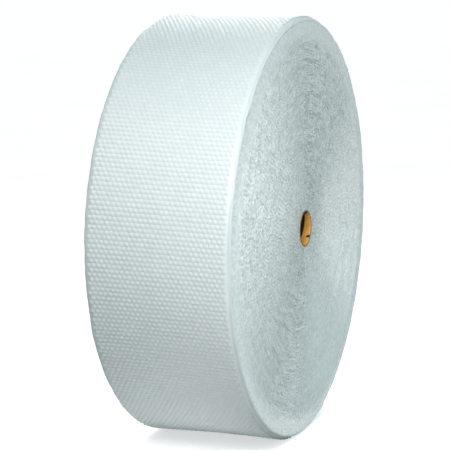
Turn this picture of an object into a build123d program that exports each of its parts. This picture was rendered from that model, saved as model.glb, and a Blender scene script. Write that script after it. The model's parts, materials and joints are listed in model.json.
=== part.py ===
from build123d import *
import math
import os

# A large, narrow roll of small-bubble cushioning film wound on a cardboard core.
# It stands on its curved side. Millimetres, +Z up.
# +X runs along the winding axis; the origin is at the centre of the footprint, on the floor.

# --- the wound film -------------------------------------------------------
outer_radius = 440.0      # over the bubbles, at mid width
film_width = 305.0        # 12 in film, face to face
shoulder_radius = 18.0    # the flat, bubble-free edges of the outer turns curl over the rim
rim_flare_left = 4.2      # the -X edge is wound a little fuller than the middle
rim_flare_right = 2.5     # and the +X edge a little less so
film_thickness = 4.0      # one turn of film with its bubbles, at the free end
flat_depth = 3.5          # how far the soft turns give where the roll stands
tail_angle = -72.0        # where the free end lies, from +Y towards +Z: low on the back
tail_fade_angle = -12.0   # where the step left by the free end has run out

# --- the core -------------------------------------------------------------
core_bore_radius = 35.0   # the opening that shows
core_wall = 3.1           # spiral-wound cardboard, 3 in over the outside
core_length = film_width  # cut flush with the film
core_edge_chamfer = 0.6

core_outer_radius = core_bore_radius + core_wall
axle_height = outer_radius - flat_depth
half = film_width / 2

axle = Axis((0, 0, axle_height), (1, 0, 0))
# sketch planes through the winding axis and across it
along = Plane(origin=(0, 0, axle_height), x_dir=(1, 0, 0), z_dir=(0, -1, 0))
across = Plane(origin=(0, 0, axle_height), x_dir=(0, 1, 0), z_dir=(1, 0, 0))


def on_circle(radius, degrees):
    a = math.radians(degrees)
    return (radius * math.cos(a), radius * math.sin(a))


# All the turns as one body: a ring with a slightly hollow outer surface and rounded rims.
with BuildPart() as bubble_film_roll:
    with BuildSketch(along) as half_section:
        with BuildLine():
            ThreePointArc(
                (-half, outer_radius + rim_flare_left),
                (0, outer_radius),
                (half, outer_radius + rim_flare_right),
            )
            Polyline(
                (half, outer_radius + rim_flare_right),
                (half, core_outer_radius),
                (-half, core_outer_radius),
                (-half, outer_radius + rim_flare_left),
            )
        make_face()
        fillet(half_section.vertices().sort_by(Axis.Y)[-2:], radius=shoulder_radius)
    revolve(axis=axle)

    # The free end of the film: beyond it the surface is one turn lower,
    # and climbs back to the full radius as the turn beneath comes up.
    mid_angle = (tail_angle + tail_fade_angle) / 2
    low = outer_radius - film_thickness
    high = outer_radius + rim_flare_left + 2.0
    beyond = outer_radius + 30.0
    with BuildSketch(across) as under_free_end:
        with BuildLine():
            ThreePointArc(
                on_circle(low, tail_angle),
                on_circle((low + high) / 2, mid_angle),
                on_circle(high, tail_fade_angle),
            )
            Line(on_circle(high, tail_fade_angle), on_circle(beyond, tail_fade_angle))
            ThreePointArc(
                on_circle(beyond, tail_fade_angle),
                on_circle(beyond, mid_angle),
                on_circle(beyond, tail_angle),
            )
            Line(on_circle(beyond, tail_angle), on_circle(low, tail_angle))
        make_face()
    extrude(amount=half + 5, both=True, mode=Mode.SUBTRACT)

    # The small flat spot that the roll stands on.
    with BuildSketch(Plane.XY):
        Rectangle(2 * film_width, outer_radius)
    extrude(amount=-50, mode=Mode.SUBTRACT)

bubble_film_roll.part.label = "bubble_film_roll"

# The cardboard tube that the film is wound on, open from end to end.
with BuildPart() as core_tube:
    with BuildSketch(across.offset(-core_length / 2)):
        Circle(core_outer_radius)
        Circle(core_bore_radius, mode=Mode.SUBTRACT)
    extrude(amount=core_length)
    chamfer(
        core_tube.edges().filter_by(GeomType.CIRCLE).group_by(SortBy.RADIUS)[0],
        length=core_edge_chamfer,
    )

core_tube.part.label = "core_tube"

os.makedirs("parts", exist_ok=True)
export_step(bubble_film_roll.part, "parts/bubble_film_roll.step")
export_step(core_tube.part, "parts/core_tube.step")

for item in (bubble_film_roll.part, core_tube.part):
    box = item.bounding_box()
    print(item.label, round(item.volume), box.min, box.max)
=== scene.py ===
import json
import math

import bpy
import numpy as np
from mathutils import Matrix, Vector


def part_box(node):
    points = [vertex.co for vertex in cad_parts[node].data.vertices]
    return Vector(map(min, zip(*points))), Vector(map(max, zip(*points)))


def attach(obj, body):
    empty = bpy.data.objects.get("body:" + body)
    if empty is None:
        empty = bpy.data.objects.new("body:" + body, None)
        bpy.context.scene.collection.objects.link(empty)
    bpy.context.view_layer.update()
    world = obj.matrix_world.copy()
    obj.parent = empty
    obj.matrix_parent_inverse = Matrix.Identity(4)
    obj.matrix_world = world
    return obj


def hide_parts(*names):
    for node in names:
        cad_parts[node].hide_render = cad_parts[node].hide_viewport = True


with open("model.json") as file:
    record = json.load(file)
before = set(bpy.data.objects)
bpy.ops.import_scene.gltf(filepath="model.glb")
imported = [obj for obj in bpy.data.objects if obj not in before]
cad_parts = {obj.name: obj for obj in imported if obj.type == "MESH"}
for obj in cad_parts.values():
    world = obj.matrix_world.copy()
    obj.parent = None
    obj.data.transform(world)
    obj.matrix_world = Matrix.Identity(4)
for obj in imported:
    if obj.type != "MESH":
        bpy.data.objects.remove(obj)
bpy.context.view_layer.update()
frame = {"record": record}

# ---------------------------------------------------------------- sizes, metres
film_lo, film_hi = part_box("bubble_film_roll")
core_lo, core_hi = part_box("core_tube")
AXLE = (core_lo.z + core_hi.z) / 2  # height of the winding axis
HALF = film_hi.x  # half the film's width
R_CORE = (core_hi.z - core_lo.z) / 2
R_BORE = next(m for m in frame["record"]["mounts"] if m["name"] == "core_bore")["dims"]["r_mm"] / 1000
R0 = 0.440  # over the bubbles, at mid width
FLARE_L, FLARE_R = 0.0042, 0.0025
SHOULDER = 0.018
STEP = 0.004  # one turn, at the free end
TAIL, FADE = math.radians(-72.0), math.radians(60.0)
BUBBLE_H = 0.0031
BUBBLE_R = 0.00455
PITCH = 0.01045  # bubble to bubble along a row
PER_ROW = 27
SOFTEN = 0.68
ROWS = 298
TURN = 0.0028  # one turn deep in the roll, at the face
SKEW = 0.0253  # the rows run a little off square

rng = np.random.default_rng(11)


# ---------------------------------------------------------------- helpers
def smooth(t):
    t = np.clip(t, 0.0, 1.0)
    return t * t * (3 - 2 * t)


class Waves:
    """Smooth noise, periodic in an angle: a sum of plane waves, standard deviation about 1."""

    def __init__(self, seed, k_angle, k_other, n=24):
        r = np.random.default_rng(seed)
        self.a = r.integers(k_angle[0], k_angle[1] + 1, n)
        self.b = r.uniform(k_other[0], k_other[1], n) * r.choice([-1, 1], n)
        self.p = r.uniform(0, 2 * math.pi, n)
        self.n = n

    def __call__(self, angle, other):
        out = 0.0
        for a, b, p in zip(self.a, self.b, self.p):
            out = out + np.cos(a * angle + b * other + p)
        return out * math.sqrt(2.0 / self.n)


def build(name, co, tris, quads=(), ngons=(), smooth_faces=True, attrs=None, uv=None, flat_quads=0):
    """A mesh object from arrays: co (n, 3), tris (m, 3), quads (k, 4), and a few longer faces."""
    tris = np.asarray(tris, np.int32).reshape(-1, 3)
    quads = np.asarray(quads, np.int32).reshape(-1, 4)
    loops = [tris.ravel(), quads.ravel()] + [np.asarray(g, np.int32) for g in ngons]
    sizes = np.concatenate([np.full(len(tris), 3), np.full(len(quads), 4), [len(g) for g in ngons]]).astype(np.int32)
    loops = np.concatenate(loops).astype(np.int32)
    start = np.concatenate([[0], np.cumsum(sizes)[:-1]]).astype(np.int32)
    me = bpy.data.meshes.new(name)
    me.vertices.add(len(co))
    me.vertices.foreach_set("co", np.asarray(co, np.float32).ravel())
    me.loops.add(len(loops))
    me.loops.foreach_set("vertex_index", loops)
    me.polygons.add(len(sizes))
    me.polygons.foreach_set("loop_start", start)
    for key, values in (attrs or {}).items():
        at = me.attributes.new(key, "FLOAT", "POINT")
        at.data.foreach_set("value", np.asarray(values, np.float32))
    me.update(calc_edges=True)
    me.validate(clean_customdata=False)
    flags = np.full(len(me.polygons), bool(smooth_faces))
    if flat_quads or len(ngons):
        flags[len(tris) + len(quads) - flat_quads :] = False
    me.polygons.foreach_set("use_smooth", flags)
    if uv is not None:
        layer = me.uv_layers.new(name="OFBake")
        idx = np.empty(len(me.loops), np.int32)
        me.loops.foreach_get("vertex_index", idx)
        layer.data.foreach_set("uv", np.asarray(uv, np.float32)[idx].ravel())
    ob = bpy.data.objects.new(name, me)
    bpy.context.scene.collection.objects.link(ob)
    return ob


# ---------------------------------------------------------------- the outer turn
A2 = (FLARE_L + FLARE_R) / 2 / HALF**2
A1 = (FLARE_R - FLARE_L) / 2 / HALF
S0 = HALF - SHOULDER
FIELD = (PER_ROW + 0.5) * PITCH / 2  # half the width that bubbles cover
ARC_R = SHOULDER - BUBBLE_H / 2
A_END = math.radians(62)
S_END = S0 + ARC_R * A_END
D_PHI = 2 * math.pi / ROWS

low_wave = Waves(3, (2, 9), (3, 26))
mid_wave = Waves(4, (9, 40), (10, 80))
edge_wave = Waves(5, (10, 60), (20, 120))
fold_wave = Waves(6, (30, 110), (5, 40))


def outer(s, phi, h):
    """Where a point of the outer turn is: s across the film, phi back from the free end, h above the film."""
    s, phi, h = np.broadcast_arrays(s, phi, h)
    m = np.abs(s)
    # the film's edge wanders a little
    m = np.where(m > FIELD, FIELD + (m - FIELD) * (1 + 0.05 * edge_wave(phi, 0.0 * s) + 0.04 * fold_wave(phi, 0.0 * s)), m)
    out = smooth((m - FIELD) / (S_END - FIELD))  # 0 where there are bubbles, 1 at the film's edge
    a = np.clip(m - S0, 0, None) / ARC_R
    off = BUBBLE_H * (1 - out) + 0.0003
    x_line = np.where(m < S0, m, S0) * np.sign(s)
    top = R0 + A1 * x_line + A2 * x_line**2
    rc = top - SHOULDER
    rho = SHOULDER - off
    wob = 0.00032 * low_wave(phi, s) + 0.00016 * mid_wave(phi, s)
    # the flat edge of the film is a little loose: it ripples
    ripple = out * (1 - 0.7 * out) * (0.0011 * edge_wave(phi, s) + 0.0005 * fold_wave(phi, s))
    drop = STEP * np.clip((phi - (2 * math.pi - FADE)) / FADE, 0, 1.02)
    g = rho + h + wob * (1 - 0.6 * out) + ripple - 0.0006
    x = (np.where(m < S0, m, S0) + g * np.sin(a)) * np.sign(s)
    r = rc + g * np.cos(a) - drop
    x = np.clip(x, -HALF + 0.0001, HALF - 0.0001)
    th = TAIL - phi + SKEW * s / R0
    y = r * np.cos(th)
    z = AXLE + r * np.sin(th)
    # it gives where it stands
    z = np.where(z < 0.0012, 0.0002 + 0.001 * np.exp((z - 0.0012) / 0.001), z)
    return np.stack([x, y, z], -1)


def outer_turn(name, row_a, row_b):
    k = 2 * PER_ROW + 2  # points along a line between rows
    s_line = -FIELD + np.arange(k) * PITCH / 2
    strip = 13
    t = np.linspace(0, 1, strip + 1)[1:]
    s_left = (-FIELD - (S_END - FIELD) * t)[::-1]
    s_right = FIELD + (S_END - FIELD) * t
    s_all = np.concatenate([s_left, s_line, s_right])
    w = len(s_all)
    lines = np.arange(row_a, row_b + 1)
    n_lines = len(lines)
    co, kind, rnd, across, along = [], [], [], [], []

    def put(s, phi, h, kinds, r):
        co.append(outer(s, phi, h).reshape(-1, 3))
        n = co[-1].shape[0]
        kind.append(np.broadcast_to(kinds, n))
        rnd.append(np.broadcast_to(r, n))
        across.append(np.broadcast_to(s, np.broadcast(s, phi).shape).ravel())
        along.append(np.broadcast_to(phi, np.broadcast(s, phi).shape).ravel())

    phi_lines = lines * D_PHI
    put(s_all[None, :], phi_lines[:, None], 0.0, 0.0, 0.5)
    base = n_lines * w
    f0 = strip  # index of the field's first point in a line

    tris, quads = [], []

    def at(line, k_field):
        return line * w + f0 + k_field

    # strips of plain film either side, quads between lines
    for i in range(w - 1):
        if strip <= i < strip + k - 1:
            continue
        j = np.arange(n_lines - 1)
        quads.append(np.stack([j * w + i, j * w + i + 1, (j + 1) * w + i + 1, (j + 1) * w + i], -1))

    ring_r = np.array([1.0, 0.88, 0.52])
    ring_h = np.array([0.0, 0.52, 0.89])
    ang = math.radians(22.5) + np.arange(8) * math.pi / 4
    ca, sa = np.cos(ang), np.sin(ang)
    jj = np.arange(row_a, row_b)
    for parity in (0, 1):
        rows = jj[jj % 2 == parity]
        c0 = 1 if parity == 0 else 2
        centres = c0 + 2 * np.arange(PER_ROW)
        n_r = len(rows)
        R, C = np.meshgrid(rows, centres, indexing="ij")
        R, C = R.ravel(), C.ravel()
        nb = len(R)
        local = np.random.default_rng(1000 + parity * 7 + row_a)
        size = 1 + 0.02 * local.standard_normal(nb).clip(-2, 1)
        tall = 1 + 0.07 * local.standard_normal(nb).clip(-2.2, 1.0)
        soft = local.random(nb) < 0.012  # a few that have lost their air
        tall = np.where(soft, tall * 0.6, tall)
        js = 0.00016 * local.standard_normal(nb).clip(-1.3, 1.3)
        jp = 0.00014 * local.standard_normal(nb).clip(-1.2, 1.2) / R0
        lean_s = 0.00035 * local.standard_normal(nb).clip(-2, 2)
        lean_p = 0.00035 * local.standard_normal(nb).clip(-2, 2)
        cs = -FIELD + C * PITCH / 2 + js
        cp = (R + 0.5) * D_PHI + jp
        rr = local.random(nb)
        start = base
        for q in range(3):
            rad = BUBBLE_R * ring_r[q] * size[:, None]
            s = cs[:, None] + rad * ca[None] + lean_s[:, None] * ring_h[q]
            p = cp[:, None] + (rad * sa[None] + lean_p[:, None] * ring_h[q]) / (R0 - BUBBLE_H)
            h = BUBBLE_H * ring_h[q] * tall[:, None] * np.ones((1, 8))
            put(s, p, h, (0.02, 0.5, 0.9)[q], np.repeat(rr, 8))
        put(cs + lean_s, cp + lean_p / R0, BUBBLE_H * tall, 1.0, rr)
        base = start + nb * 25
        v = np.arange(nb)
        ring = [start + q * nb * 8 + v[:, None] * 8 + np.arange(8)[None] for q in range(3)]
        apex = start + 3 * nb * 8 + v
        nxt = np.roll(np.arange(8), -1)
        # s grows with the ring's angle from s to phi; the outside is to the left of s x (-phi)
        for q in range(2):
            a_, b_ = ring[q], ring[q + 1]
            quads.append(np.stack([a_, a_[:, nxt], b_[:, nxt], b_], -1).reshape(-1, 4))
        tris.append(np.stack([ring[2], ring[2][:, nxt], np.broadcast_to(apex[:, None], (nb, 8))], -1).reshape(-1, 3))
        # plain film round each bubble: from its ring of 8 to the 6 points of its cell
        ln = R - row_a
        cell = np.stack([at(ln, C + 1), at(ln + 1, C + 1), at(ln + 1, C), at(ln + 1, C - 1), at(ln, C - 1), at(ln, C)], -1)
        # ring angles 22.5, 67.5, ... ; cell points at about -41, 41, 90, 139, 221, 270 degrees
        r0 = ring[0]
        web = [
            (r0[:, 7], cell[:, 0], r0[:, 0]),
            (cell[:, 0], cell[:, 1], r0[:, 0]),
            (r0[:, 0], cell[:, 1], r0[:, 1]),
            (r0[:, 1], cell[:, 1], cell[:, 2]),
            (r0[:, 1], cell[:, 2], r0[:, 2]),
            (r0[:, 2], cell[:, 2], cell[:, 3]),
            (r0[:, 2], cell[:, 3], r0[:, 3]),
            (r0[:, 3], cell[:, 3], cell[:, 4]),
            (r0[:, 3], cell[:, 4], r0[:, 4]),
            (r0[:, 4], cell[:, 4], r0[:, 5]),
            (r0[:, 5], cell[:, 4], cell[:, 5]),
            (r0[:, 5], cell[:, 5], r0[:, 6]),
            (r0[:, 6], cell[:, 5], cell[:, 0]),
            (r0[:, 6], cell[:, 0], r0[:, 7]),
        ]
        for tri in web:
            tris.append(np.stack(tri, -1))
        # the half cell at the end of each row
        ln = rows - row_a
        if parity == 0:
            a, b = 2 * PER_ROW, 2 * PER_ROW + 1
        else:
            a, b = 0, 1
        quads.append(np.stack([at(ln, a), at(ln, b), at(ln + 1, b), at(ln + 1, a)], -1))

    surface_quads = sum(len(q) for q in quads)
    # the underside, 6 mm in, so that the turn is a closed shell
    s_in = np.linspace(-S_END, S_END, 9)
    inner = outer(s_in[None, :], phi_lines[:, None], 0.0)
    rad = np.hypot(inner[..., 1], inner[..., 2] - AXLE)
    r_new = np.minimum(rad - 0.006, R0 - 0.0102)
    inner[..., 1] *= r_new / rad
    inner[..., 2] = AXLE + (inner[..., 2] - AXLE) * r_new / rad
    inner[..., 0] = np.clip(inner[..., 0], -HALF + 0.0035, HALF - 0.0035)
    co.append(inner.reshape(-1, 3))
    n = n_lines * 9
    for arr in (kind, rnd):
        arr.append(np.zeros(n))
    across.append(np.broadcast_to(s_in[None, :], (n_lines, 9)).ravel())
    along.append(np.broadcast_to(phi_lines[:, None], (n_lines, 9)).ravel())
    j = np.arange(n_lines - 1)
    for i in range(8):
        quads.append(np.stack([base + j * 9 + i, base + (j + 1) * 9 + i, base + (j + 1) * 9 + i + 1, base + j * 9 + i + 1], -1))
    quads.append(np.stack([base + j * 9, j * w, (j + 1) * w, base + (j + 1) * 9], -1))
    quads.append(np.stack([base + j * 9 + 8, base + (j + 1) * 9 + 8, (j + 1) * w + w - 1, j * w + w - 1], -1))
    cap_a = list(range(0, w)) + [base + i for i in range(8, -1, -1)]
    e = n_lines - 1
    cap_b = [e * w + i for i in range(w - 1, -1, -1)] + [base + e * 9 + i for i in range(9)]

    co = np.concatenate(co)
    tris = np.concatenate(tris)
    quads = np.concatenate(quads)
    # where two lengths of the turn meet, both take the true normal of the surface, so the join can't be seen
    nrm = np.zeros_like(co)
    e1, e2 = 1e-4, 1e-4 / R0
    for line in (0, n_lines - 1):
        phi = phi_lines[line]
        if row_a + line in (0, ROWS):
            continue
        ds = outer(s_all + e1, phi, 0.0) - outer(s_all - e1, phi, 0.0)
        dp = outer(s_all, phi + e2, 0.0) - outer(s_all, phi - e2, 0.0)
        v = np.cross(ds, dp)
        v /= np.linalg.norm(v, axis=1)[:, None]
        radial = outer(s_all, phi, 0.0) * [0, 1, 1] - [0, 0, AXLE]
        v *= np.sign(np.einsum("ij,ij->i", v, radial))[:, None]
        nrm[line * w : (line + 1) * w] = v
    across, along = np.concatenate(across), np.concatenate(along)
    span = max(phi_lines[-1] - phi_lines[0], 1e-6) * R0
    uv = np.stack([(across + S_END) / (2 * S_END) * 0.94 + 0.03, (along - phi_lines[0]) * R0 / span * 0.9 + 0.05], -1)
    # the underside and the caps go into a thin band of their own
    under = np.arange(len(co)) >= base
    uv[under, 1] = 0.005 + 0.03 * (along[under] - phi_lines[0]) * R0 / span
    ob = build(name, co, tris, quads, [cap_a, cap_b], attrs={"bubble": np.concatenate(kind), "lot": np.concatenate(rnd)}, uv=uv, flat_quads=len(quads) - surface_quads)
    return ob, nrm


def facing_out(ob, normals=None):
    """Turns the faces over if they look inwards: the volume is positive when they look out."""
    me = ob.data
    v = np.empty(len(me.vertices) * 3, np.float32)
    me.vertices.foreach_get("co", v)
    v = v.reshape(-1, 3).astype(float)
    me.calc_loop_triangles()
    t = np.empty(len(me.loop_triangles) * 3, np.int32)
    me.loop_triangles.foreach_get("vertices", t)
    t = t.reshape(-1, 3)
    c = v.mean(0)
    a, b, d = v[t[:, 0]] - c, v[t[:, 1]] - c, v[t[:, 2]] - c
    vol = np.einsum("ij,ij->i", a, np.cross(b, d)).sum() / 6
    if vol < 0:
        me.flip_normals()
    if normals is not None:
        # light passes through thin bubbles, so they shade more softly than their shape: lean their normals outwards
        own = np.empty(len(me.vertices) * 3, np.float32)
        me.vertices.foreach_get("normal", own)
        own = own.reshape(-1, 3).astype(float)
        radial = v * [0, 1, 1] - [0, 0, AXLE]
        radial /= np.linalg.norm(radial, axis=1)[:, None]
        at = np.empty(len(me.vertices), np.float32)
        me.attributes["bubble"].data.foreach_get("value", at)
        on = at > 0
        mixed = own * (1 - SOFTEN) + radial * SOFTEN
        mixed /= np.linalg.norm(mixed, axis=1)[:, None]
        out = np.where(on[:, None], mixed, np.asarray(normals))
        me.normals_split_custom_set_from_vertices([tuple(q) for q in out])
    print(ob.name, "triangles", len(t), "volume", round(abs(vol), 5), "turned" if vol < 0 else "")


film_pieces = []
for i, (a, b) in enumerate(((0, 100), (100, 200), (200, ROWS))):
    ob, normals = outer_turn(f"outer_turn_{'abc'[i]}", a, b)
    facing_out(ob, normals)
    film_pieces.append(ob)


# ---------------------------------------------------------------- the wound ends
def wound_end(name, side, seed):
    """The face that the edges of all the turns make. side is +1 or -1."""
    seg = 348
    r_out = R0 - 0.0095
    turns = int((r_out - R_CORE - 0.0002) / TURN) - 1
    rings = 2 * turns
    i = np.arange(rings + 3)[:, None] * 1.0
    j = np.arange(seg)[None, :] * 1.0
    th = 2 * math.pi * j / seg
    r = R_CORE + 0.0002 + TURN * (i / 2 + j / seg)  # a spiral: point seg of ring i is point 0 of ring i + 2
    u = np.clip((r - R_CORE) / (r_out - R_CORE), 0, 1)
    ran = np.random.default_rng(seed)
    slow = Waves(seed + 1, (0, 5), (60, 420), 30)
    tele = Waves(seed + 2, (0, 2), (40, 130), 16)
    fine = Waves(seed + 3, (6, 60), (300, 1500), 40)
    wob = Waves(seed + 4, (3, 30), (60, 300), 30)
    peak = (np.arange(rings + 3) % 2 == 0)[:, None]
    calm = smooth((r_out - r - 0.012) / 0.05)  # the outer turns lie tight and even
    jit = ran.standard_normal(r.shape).clip(-2.2, 2.2)
    # the same turn keeps its place along its edge for a while
    lag = jit.copy()
    for _ in range(2):
        lag = (np.roll(lag, 1, 1) + lag + np.roll(lag, -1, 1)) / 1.9
    # and so do those below the core, where the roll's weight presses them together
    sway = calm * (0.35 + 0.65 * smooth((r * np.sin(th) + 0.28) / 0.26)) * (1 - 0.3 * smooth((r * np.sin(th) - 0.18) / 0.15))
    depth = 0.0012 + sway * (0.0005 * slow(th, r) + 0.0005 * fine(th, r)) + 0.0004 * tele(th, r)
    depth = depth + (0.12 + 0.88 * sway) * 0.00042 * lag
    depth = depth + np.where(peak, 0.0, 0.0007 + 0.0007 * calm)
    depth = np.clip(depth, 0.0001, 0.0045)
    # the outer turns are a little narrower each, so the face rounds off towards the rim
    rim = np.clip((r - (r_out - 0.050)) / 0.050, 0, 1)
    depth = depth * (1 - 0.6 * rim) + 0.0025 * rim**2
    core = np.clip((R_CORE + 0.004 - r) / 0.004, 0, 1)
    depth = depth + 0.0006 * core
    rr = r + (0.1 + 0.9 * calm) * (0.00035 * wob(th, r) + 0.00016 * ran.standard_normal(r.shape).clip(-2, 2))
    phi = np.mod(TAIL - th, 2 * math.pi)
    rr = rr - STEP * np.clip((phi - (2 * math.pi - FADE)) / FADE, 0, 1) * smooth((r - (r_out - 0.04)) / 0.036)
    rr = np.maximum(rr, R_CORE + 0.00015)
    rr[0] = R_CORE + 0.00015
    x = HALF - depth
    n_face = (rings + 3) * seg
    co = np.stack([side * x, rr * np.cos(th), AXLE + rr * np.sin(th)], -1).reshape(-1, 3)
    valley = np.broadcast_to(~peak, r.shape).astype(float).ravel()
    lot = (0.5 + 0.25 * lag).clip(0, 1).ravel()

    def idx(ii, jj):
        ii = np.asarray(ii) + 2 * (np.asarray(jj) // seg)
        return ii * seg + np.asarray(jj) % seg

    I, J = np.meshgrid(np.arange(rings), np.arange(seg), indexing="ij")
    quads = [np.stack([idx(I, J), idx(I + 1, J), idx(I + 1, J + 1), idx(I, J + 1)], -1).reshape(-1, 4)]
    # the spiral's two ends are closed by the walls: an inner ring, an outer ring and a flat back
    back = len(co)
    x_b = HALF - 0.022
    ring_in = np.stack([np.full(seg, side * x_b), (R_CORE + 0.00015) * np.cos(th[0]), AXLE + (R_CORE + 0.00015) * np.sin(th[0])], -1)
    ring_front = ring_in.copy()
    ring_front[:, 0] = side * (HALF - 0.0016)
    r_wall = r_out - 0.008
    ring_out = np.stack([np.full(seg, side * x_b), r_wall * np.cos(th[0]), AXLE + r_wall * np.sin(th[0])], -1)
    co = np.concatenate([co, ring_front, ring_in, ring_out])
    jj = np.arange(seg)
    j1 = (jj + 1) % seg
    A, B, C = back, back + seg, back + 2 * seg
    # inner ring to the spiral's first edge
    quads.append(np.stack([A + jj, idx(np.zeros(seg, int), jj), idx(np.zeros(seg, int), jj + 1), A + j1], -1)[:-1])
    quads.append(np.stack([B + jj, A + jj, A + j1, B + j1], -1))
    quads.append(np.stack([C + jj, B + jj, B + j1, C + j1], -1))
    top = np.full(seg, rings)
    quads.append(np.stack([idx(top, jj), C + jj, C + j1, idx(top, jj + 1)], -1)[:-1])
    quads = np.concatenate(quads)
    extra = [
        [A + seg - 1, int(idx(0, seg - 1)), int(idx(0, seg)), int(idx(1, 0)), int(idx(0, 0)), A],
        [int(idx(rings, seg - 1)), C + seg - 1, C, int(idx(rings, 0)), int(idx(rings + 1, 0)), int(idx(rings, seg))],
    ]
    n = len(co) - n_face
    uv = np.stack([co[:, 1] / 0.92 + 0.5, (co[:, 2] - AXLE) / 0.92 + 0.5], -1)
    ob = build(
        name, co, np.zeros((0, 3)), quads, extra, smooth_faces=False,
        attrs={"valley": np.concatenate([valley, np.ones(n)]), "lot": np.concatenate([lot, np.full(n, 0.5)]), "calm": np.concatenate([calm.ravel(), np.zeros(n)])},
        uv=uv,
    )
    me = ob.data
    used = np.zeros(len(me.vertices), bool)
    loops = np.empty(len(me.loops), np.int32)
    me.loops.foreach_get("vertex_index", loops)
    used[loops] = True
    if not used.all():
        import bmesh

        bm = bmesh.new()
        bm.from_mesh(me)
        bm.verts.ensure_lookup_table()
        bmesh.ops.delete(bm, geom=[bm.verts[int(k)] for k in np.nonzero(~used)[0]], context="VERTS")
        bm.to_mesh(me)
        bm.free()
    facing_out(ob)
    return ob


end_right = wound_end("turn_edges_right", 1, 40)
end_left = wound_end("turn_edges_left", -1, 70)


# ---------------------------------------------------------------- the core
def make_core():
    seg = 180
    lead = 0.62  # metres of tube per turn of the paper's joint
    gap = np.radians([-0.9, -0.35, 0.35, 0.9])
    base_t = np.concatenate([gap, np.linspace(gap[-1], 2 * math.pi + gap[0], seg - 2)[1:-1]])
    n = len(base_t)
    xs = np.concatenate([[-HALF + 0.0008], np.linspace(-HALF + 0.006, HALF - 0.006, 60), [HALF - 0.0008]])
    ran = np.random.default_rng(5)
    rough = Waves(90, (2, 30), (10, 60), 30)
    co, ply, seam, nick = [], [], [], []

    def ring(x, r, joint, plies):
        t = base_t + 2 * math.pi * x / lead
        w = np.zeros(n)
        w[1:3] = joint
        rr = r + w + 0.00008 * rough(t, x)
        xx = np.broadcast_to(x, n).copy()
        nick.append(np.zeros(n))
        if x > HALF - 0.007:  # a small nick in the paper's edge, low on the side away from the camera
            bite = np.clip(1 - np.abs(np.angle(np.exp(1j * (t + math.radians(36))))) / 0.13, 0, 1)
            xx = xx - 0.0016 * bite * (xx > HALF - 0.004)
            nick[-1] = bite
        co.append(np.stack([xx, rr * np.cos(t), AXLE + rr * np.sin(t)], -1))
        ply.append(np.full(n, plies))
        seam.append((np.abs(w) > 0).astype(float))

    # bore, from -X to +X; the paper's joint is a shallow groove
    for x in xs:
        ring(x, R_BORE, 0.00022, 0.0)
    # the +X end: the plies, each cut a little differently
    plies = 7
    edges = np.linspace(R_BORE + 0.0004, R_CORE - 0.0003, 2 * plies + 1)
    steps = ran.uniform(0.0, 0.00045, len(edges))
    steps[1::2] += 0.00035
    for e, d in zip(edges, steps):
        ring(HALF - 0.0002 - d, e, 0.0, 1.0)
    for x in xs[::-1][::6]:
        ring(x, R_CORE - 0.00002, 0.0, 0.0)
    for e, d in zip(edges[::-1], steps[::-1]):
        ring(-HALF + 0.0002 + d, e, 0.0, 1.0)
    co_a = np.concatenate(co)
    m = len(co)
    quads = []
    j = np.arange(n)
    j1 = (j + 1) % n
    for i in range(m):
        k = (i + 1) % m
        quads.append(np.stack([i * n + j, i * n + j1, k * n + j1, k * n + j], -1))
    uv = np.stack([np.tile(np.arange(n) / n, m), np.repeat(np.arange(m) / m, n)], -1)
    ob = build("core_paper_tube", co_a, np.zeros((0, 3)), np.concatenate(quads), attrs={"ply": np.concatenate(ply), "seam": np.concatenate(seam), "nick": np.concatenate(nick)}, uv=uv)
    facing_out(ob)
    return ob


core = make_core()


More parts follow.
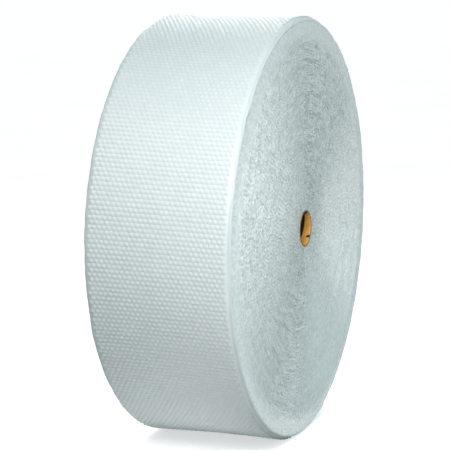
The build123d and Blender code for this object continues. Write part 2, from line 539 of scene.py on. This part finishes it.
# ---------------------------------------------------------------- materials
class Nodes:
    def __init__(self, name):
        self.mat = bpy.data.materials.new(name)
        self.mat.use_nodes = True
        self.t = self.mat.node_tree
        self.t.nodes.clear()
        self.out = self.t.nodes.new("ShaderNodeOutputMaterial")
        self.p = self.t.nodes.new("ShaderNodeBsdfPrincipled")
        self.t.links.new(self.p.outputs[0], self.out.inputs[0])

    def new(self, kind, **props):
        n = self.t.nodes.new("ShaderNode" + kind)
        for k, v in props.items():
            setattr(n, k, v)
        return n

    def link(self, a, b):
        self.t.links.new(a, b)

    def put(self, socket, value):
        if hasattr(value, "is_linked") or hasattr(value, "links"):
            self.link(value, socket)
        else:
            socket.default_value = value

    def math(self, op, a, b=0.0, clamp=False):
        n = self.new("Math", operation=op, use_clamp=clamp)
        self.put(n.inputs[0], a)
        self.put(n.inputs[1], b)
        return n.outputs[0]

    def mix(self, f, a, b):
        n = self.new("Mix", data_type="RGBA")
        self.put(n.inputs[0], f)
        self.put(n.inputs[6], a)
        self.put(n.inputs[7], b)
        return n.outputs[2]

    def mixf(self, f, a, b):
        n = self.new("Mix", data_type="FLOAT")
        self.put(n.inputs[0], f)
        self.put(n.inputs[2], a)
        self.put(n.inputs[3], b)
        return n.outputs[0]

    def attr(self, name):
        return self.new("Attribute", attribute_type="GEOMETRY", attribute_name=name).outputs["Fac"]

    def coords(self):
        return self.new("TexCoord").outputs["Object"]

    def noise(self, vec, scale, detail=3.0, rough=0.5, dist=0.0):
        n = self.new("TexNoise")
        self.put(n.inputs["Vector"], vec)
        n.inputs["Scale"].default_value = scale
        n.inputs["Detail"].default_value = detail
        n.inputs["Roughness"].default_value = rough
        n.inputs["Distortion"].default_value = dist
        return n.outputs[0]

    def ramp(self, f, stops):
        n = self.new("ValToRGB")
        self.put(n.inputs[0], f)
        el = n.color_ramp.elements
        while len(el) < len(stops):
            el.new(0.5)
        for e, (pos, col) in zip(el, stops):
            e.position = pos
            e.color = (*col, 1.0) if len(col) == 3 else col
        return n.outputs[0]

    def span(self, v, a, b, c=0.0, d=1.0):
        n = self.new("MapRange", clamp=True)
        self.put(n.inputs[0], v)
        for i, q in enumerate((a, b, c, d)):
            n.inputs[i + 1].default_value = q
        return n.outputs[0]

    def bump(self, height, distance, strength=1.0, normal=None):
        n = self.new("Bump")
        n.inputs["Strength"].default_value = strength
        n.inputs["Distance"].default_value = distance
        self.put(n.inputs["Height"], height)
        if normal is not None:
            self.link(normal, n.inputs["Normal"])
        return n.outputs[0]

    def polar(self):
        """(radius from the winding axis, angle, y, z) of the shading point."""
        sep = self.new("SeparateXYZ")
        self.link(self.coords(), sep.inputs[0])
        y = sep.outputs[1]
        z = self.math("SUBTRACT", sep.outputs[2], AXLE)
        r = self.math("SQRT", self.math("ADD", self.math("MULTIPLY", y, y), self.math("MULTIPLY", z, z)))
        ang = self.math("ARCTAN2", z, y)
        return r, ang, y, z, sep.outputs[0]

    def vec(self, x, y, z):
        n = self.new("CombineXYZ")
        for s, v in zip(n.inputs, (x, y, z)):
            self.put(s, v)
        return n.outputs[0]


def film_material():
    m = Nodes("bubble_film_outer")
    b, lot = m.attr("bubble"), m.attr("lot")
    co = m.coords()
    big = m.noise(co, 3.2, 3.0, 0.5)
    mid = m.noise(co, 26.0, 3.0, 0.55)
    fine = m.noise(co, 620.0, 3.0, 0.6)
    web = m.ramp(big, [(0.3, (0.58, 0.655, 0.67)), (0.7, (0.63, 0.695, 0.705))])
    top = m.ramp(m.math("ADD", m.math("MULTIPLY", mid, 0.7), m.math("MULTIPLY", lot, 0.3)), [(0.3, (0.61, 0.68, 0.695)), (0.7, (0.67, 0.73, 0.74))])
    col = m.mix(m.span(b, 0.1, 0.9), web, top)
    # no bubbles along the edges of the film: plainer and a little darker
    sep = m.new("SeparateXYZ")
    m.link(co, sep.inputs[0])
    rim = m.span(m.math("ABSOLUTE", sep.outputs[0]), FIELD - 0.001, HALF - 0.006)
    bare = m.ramp(mid, [(0.3, (0.45, 0.52, 0.53)), (0.7, (0.51, 0.58, 0.585))])
    col = m.mix(rim, col, bare)
    # its cut edge is as pale as the turns' edges beside it
    col = m.mix(m.span(m.math("ABSOLUTE", sep.outputs[0]), HALF - 0.009, HALF - 0.003), col, (0.57, 0.645, 0.655, 1.0))
    m.link(col, m.p.inputs["Base Color"])
    m.link(m.math("ADD", m.mixf(m.span(mid, 0.3, 0.7), 0.30, 0.42), m.math("MULTIPLY", rim, 0.3)), m.p.inputs["Roughness"])
    m.p.inputs["IOR"].default_value = 1.5
    m.p.inputs["Specular IOR Level"].default_value = 0.45
    m.p.inputs["Coat Weight"].default_value = 0.08
    m.p.inputs["Coat Roughness"].default_value = 0.2
    n1 = m.bump(fine, 0.00025, 0.5)
    n2 = m.bump(mid, 0.0016, 0.35, n1)
    m.link(n2, m.p.inputs["Normal"])
    return m.mat


def end_material():
    m = Nodes("bubble_film_edges")
    valley, lot, calm = m.attr("valley"), m.attr("lot"), m.attr("calm")
    r, ang, y, z, x = m.polar()
    co = m.coords()
    # which turn a point is on, how far across it, and how far along the film from the core
    part = m.math("FRACT", m.math("DIVIDE", ang, 2 * math.pi))
    u = m.math("SUBTRACT", m.math("DIVIDE", m.math("SUBTRACT", r, R_CORE + 0.0002), TURN), part)
    turn = m.math("FLOOR", u)
    total = m.math("ADD", turn, part)
    run = m.math("MULTIPLY", total, m.math("ADD", 2 * math.pi * (R_CORE + 0.0002), m.math("MULTIPLY", total, math.pi * TURN)))
    slip = m.noise(m.vec(m.math("MULTIPLY", turn, 0.37), m.math("MULTIPLY", y, 3.0), m.math("MULTIPLY", z, 3.0)), 1.0, 2.0, 0.5)
    phase = m.math("ADD", m.math("MULTIPLY", run, 2 * math.pi / 0.00923), m.math("MULTIPLY", slip, 26.0))
    wave = m.math("COSINE", phase)
    # streaks that run round the roll: long along the turn, as narrow as a turn across it
    st = m.vec(m.math("MULTIPLY", y, 60.0), m.math("MULTIPLY", z, 60.0), m.math("MULTIPLY", r, 330.0))
    streak = m.noise(st, 1.0, 2.0, 0.55)
    st2 = m.vec(m.math("MULTIPLY", y, 45.0), m.math("MULTIPLY", z, 45.0), m.math("MULTIPLY", r, 120.0))
    patch = m.noise(st2, 1.0, 3.0, 0.6)
    # wrinkles that run out across the turns
    rr = m.math("MAXIMUM", r, 0.02)
    spoke = m.vec(m.math("MULTIPLY", m.math("DIVIDE", y, rr), 44.0), m.math("MULTIPLY", m.math("DIVIDE", z, rr), 44.0), m.math("MULTIPLY", r, 66.0))
    crinkle = m.noise(spoke, 1.0, 2.0, 0.6, 0.7)
    beside = m.span(m.math("ABSOLUTE", m.math("DIVIDE", y, rr)), 0.1, 0.75, 0.35, 1.0)
    grit = m.noise(co, 620.0, 3.0, 0.65)
    big = m.noise(co, 5.0, 3.0, 0.5)
    # the turns lie more evenly below the core than beside it
    live = m.math("MULTIPLY", m.span(calm, 0.0, 1.0, 0.12, 1.0), m.span(z, -0.25, -0.02, 0.16, 0.88))
    ends = m.math("MULTIPLY", wave, live)
    shade = m.math("ADD", m.math("MULTIPLY", m.math("MULTIPLY", m.math("SUBTRACT", crinkle, 0.5), beside), 2.0), m.math("MULTIPLY", ends, 0.30))
    shade = m.math("ADD", m.math("MULTIPLY", m.math("SUBTRACT", streak, 0.5), 0.7), m.math("MULTIPLY", shade, live))
    # painted shade: the valleys between the turns' edges take the darker colour, the edges the lighter one
    deep = m.ramp(patch, [(0.3, (0.36, 0.445, 0.45)), (0.7, (0.52, 0.60, 0.605))])
    edge = m.ramp(m.math("ADD", shade, 0.5), [(0.12, (0.43, 0.51, 0.515)), (0.5, (0.645, 0.715, 0.72)), (0.88, (0.86, 0.91, 0.91))])
    col = m.mix(m.span(valley, 0.15, 0.85), edge, deep)
    plain = m.ramp(big, [(0.3, (0.53, 0.605, 0.615)), (0.7, (0.58, 0.65, 0.66))])
    col = m.mix(m.math("MULTIPLY", m.span(calm, 0.0, 0.8, 0.2, 1.0), m.span(z, -0.26, -0.02, 0.5, 1.0)), plain, col)
    # painted sheen: a pale patch painted beside the core on the +Y side, where the light glints off the turns' edges
    painted_sheen = m.math("MULTIPLY", m.span(m.math("DIVIDE", y, rr), 0.72, 0.97), m.span(r, 0.05, 0.15))
    painted_sheen = m.math("MULTIPLY", painted_sheen, m.span(calm, 0.0, 0.9))
    col = m.mix(m.math("MULTIPLY", painted_sheen, 0.48), col, (0.90, 0.95, 0.95, 1.0))
    m.link(col, m.p.inputs["Base Color"])
    m.link(m.mixf(m.span(crinkle, 0.35, 0.65), 0.14, 0.36), m.p.inputs["Roughness"])
    m.p.inputs["IOR"].default_value = 1.5
    m.p.inputs["Specular IOR Level"].default_value = 0.6
    m.p.inputs["Coat Weight"].default_value = 0.4
    m.p.inputs["Coat Roughness"].default_value = 0.1
    n1 = m.bump(grit, 0.0004, 0.4)
    n2 = m.bump(m.math("MULTIPLY", ends, 0.5), 0.0011, 0.9, n1)
    n3 = m.bump(m.math("MULTIPLY", m.math("MULTIPLY", crinkle, beside), live), 0.0042, 0.9, n2)
    n4 = m.bump(streak, 0.0014, 0.5, n3)
    m.link(n4, m.p.inputs["Normal"])
    return m.mat


def core_material():
    m = Nodes("kraft_paper_core")
    ply, seam = m.attr("ply"), m.attr("seam")
    co = m.coords()
    r, ang, y, z, x = m.polar()
    fibre = m.noise(m.vec(m.math("MULTIPLY", x, 260.0), m.math("MULTIPLY", ang, 9.0), m.math("MULTIPLY", r, 900.0)), 1.0, 4.0, 0.65)
    blot = m.noise(co, 38.0, 4.0, 0.6)
    col = m.ramp(m.math("ADD", m.math("MULTIPLY", fibre, 0.5), m.math("MULTIPLY", blot, 0.5)), [(0.32, (0.66, 0.33, 0.055)), (0.55, (0.80, 0.43, 0.12)), (0.72, (0.90, 0.54, 0.21))])
    col = m.mix(m.math("MULTIPLY", seam, 0.65), col, (0.20, 0.10, 0.03, 1.0))
    # painted shadow: the bore is painted near-black further in, starting nearer the rim towards the top, for the key
    # light's shadow cast by the near rim
    shadow_slant = m.math("ADD", m.math("MULTIPLY", z, 0.15), m.math("MULTIPLY", m.math("MAXIMUM", m.math("SUBTRACT", z, 0.025), 0.0), 1.3))
    painted_shadow_mask = m.span(m.math("SUBTRACT", m.math("ABSOLUTE", x), shadow_slant), HALF - 0.0166, HALF - 0.0141)
    col = m.mix(painted_shadow_mask, (0.022, 0.009, 0.004, 1.0), col)
    lines = m.math("FRACT", m.math("MULTIPLY", r, 1400.0))
    end = m.ramp(lines, [(0.0, (0.06, 0.035, 0.016)), (0.3, (0.25, 0.155, 0.075)), (1.0, (0.17, 0.10, 0.045))])
    col = m.mix(ply, col, end)
    # painted shade: the nick's faces are painted bluish near-black for the shade inside the notch
    col = m.mix(m.span(m.attr("nick"), 0.1, 0.5), col, (0.018, 0.022, 0.026, 1.0))
    m.link(col, m.p.inputs["Base Color"])
    m.link(m.mixf(blot, 0.62, 0.88), m.p.inputs["Roughness"])
    m.p.inputs["Specular IOR Level"].default_value = 0.3
    n = m.bump(fibre, 0.0004, 0.6)
    m.link(n, m.p.inputs["Normal"])
    return m.mat


film = film_material()
edges = end_material()
paper = core_material()

for ob in film_pieces:
    ob.data.materials.append(film)
for ob in (end_right, end_left):
    ob.data.materials.append(edges)
core.data.materials.append(paper)
for ob in film_pieces + [end_right, end_left]:
    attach(ob, "root")
    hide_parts("bubble_film_roll")
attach(core, "root")
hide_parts("core_tube")

# ---------------------------------------------------------------- floor, light, camera
bpy.ops.mesh.primitive_grid_add(x_subdivisions=24, y_subdivisions=24, size=300, location=(0, 0, -0.0002))
floor = bpy.context.object
floor.name = "studio_floor"
floor.visible_diffuse = False  # the sweep below is lit for itself and throws nothing back up
fm = Nodes("studio_floor")
tone = fm.ramp(fm.noise(fm.coords(), 1.5, 3.0), [(0.3, (0.80, 0.80, 0.80)), (0.7, (0.83, 0.83, 0.83))])
fm.link(tone, fm.p.inputs["Base Color"])
fm.link(tone, fm.p.inputs["Emission Color"])
fm.p.inputs["Emission Strength"].default_value = 0.62
fm.p.inputs["Roughness"].default_value = 0.7
fm.p.inputs["Specular IOR Level"].default_value = 0.2
floor.data.materials.append(fm.mat)

scene = bpy.context.scene
world = bpy.data.worlds.new("studio")
scene.world = world
world.use_nodes = True
wt = world.node_tree
wt.nodes.clear()
wo = wt.nodes.new("ShaderNodeOutputWorld")
bg = wt.nodes.new("ShaderNodeBackground")
bg.inputs[0].default_value = (0.90, 0.995, 1.0, 1)
sky = wt.nodes.new("ShaderNodeTexCoord")
sep = wt.nodes.new("ShaderNodeSeparateXYZ")
fade = wt.nodes.new("ShaderNodeMapRange")
for i, v in ((1, -0.25), (2, 0.25), (3, 0.20), (4, 0.66)):
    fade.inputs[i].default_value = v
wt.links.new(sky.outputs["Generated"], sep.inputs[0])
wt.links.new(sep.outputs[2], fade.inputs[0])
wt.links.new(fade.outputs[0], bg.inputs[1])
seen = wt.nodes.new("ShaderNodeBackground")
seen.inputs[0].default_value = (1, 1, 1, 1)
seen.inputs[1].default_value = 1.0
path = wt.nodes.new("ShaderNodeLightPath")
mixw = wt.nodes.new("ShaderNodeMixShader")
wt.links.new(path.outputs["Is Camera Ray"], mixw.inputs[0])
wt.links.new(bg.outputs[0], mixw.inputs[1])
wt.links.new(seen.outputs[0], mixw.inputs[2])
wt.links.new(mixw.outputs[0], wo.inputs[0])


def softbox(name, azimuth, elevation, distance, size, power, color=(1, 1, 1)):
    """A square softbox that looks at the roll. Azimuth from the front, -Y, towards +X; degrees."""
    d = bpy.data.lights.new(name, "AREA")
    d.shape = "SQUARE"
    d.size = size
    d.energy = power
    d.color = color
    o = bpy.data.objects.new(name, d)
    scene.collection.objects.link(o)
    a, e = math.radians(azimuth), math.radians(elevation)
    v = Vector((math.sin(a) * math.cos(e), -math.cos(a) * math.cos(e), math.sin(e)))
    o.location = Vector((0, 0, AXLE)) + v * distance
    o.rotation_mode = "QUATERNION"
    o.rotation_quaternion = (-v).to_track_quat("-Z", "Y")
    return o


softbox("key", 22.5, 25, 1.4, 0.42, 8.15, (1.0, 0.943, 0.93))
softbox("side_fill", 90, 10, 3.2, 1.3, 23, (0.925, 0.995, 1.0))
softbox("top", -5, 55, 3.2, 1.3, 8)
softbox("back", 205, 35, 3.2, 1.3, 30)
card = softbox("bounce_card", 22, -30, 0.86, 0.5, 0.7)  # low in front, as a white card on the floor would throw light up
card.location = (0.36, -0.86, 0.03)
card.rotation_quaternion = (Vector((0.02, -0.22, 0.14)) - card.location).to_track_quat("-Z", "Y")
card.visible_camera = False
flat = softbox("floor_card", 0, -30, 0.5, 0.3, 0.21)  # lies on the floor under the roll's front and lights its underside
flat.location = (-0.02, -0.36, 0.004)
flat.rotation_quaternion = Vector((0, 0.25, 1)).to_track_quat("-Z", "Y")
flat.visible_camera = False

AZ, EL = math.radians(69.324), math.radians(8.6055)
DIST, FOCAL_PX = 3.5977, 1700.8
centre = Vector((0, 0, AXLE))
d = Vector((math.cos(AZ) * math.cos(EL), -math.sin(AZ) * math.cos(EL), math.sin(EL)))
cd = bpy.data.cameras.new("camera")
cam = bpy.data.objects.new("camera", cd)
scene.collection.objects.link(cam)
cam.location = centre + d * DIST
right = Vector((math.sin(AZ), math.cos(AZ), 0))
up = d.cross(right)
cam.matrix_world = Matrix(((right.x, up.x, d.x, cam.location.x), (right.y, up.y, d.y, cam.location.y), (right.z, up.z, d.z, cam.location.z), (0, 0, 0, 1)))
cd.sensor_width = 36
cd.lens = 36 * FOCAL_PX / 450
cd.shift_x = -(237.51 - 225) / 450
cd.shift_y = (224.56 - 225) / 450
cd.clip_end = 200
scene.camera = cam

scene.view_settings.view_transform = "Standard"
scene.view_settings.look = "None"
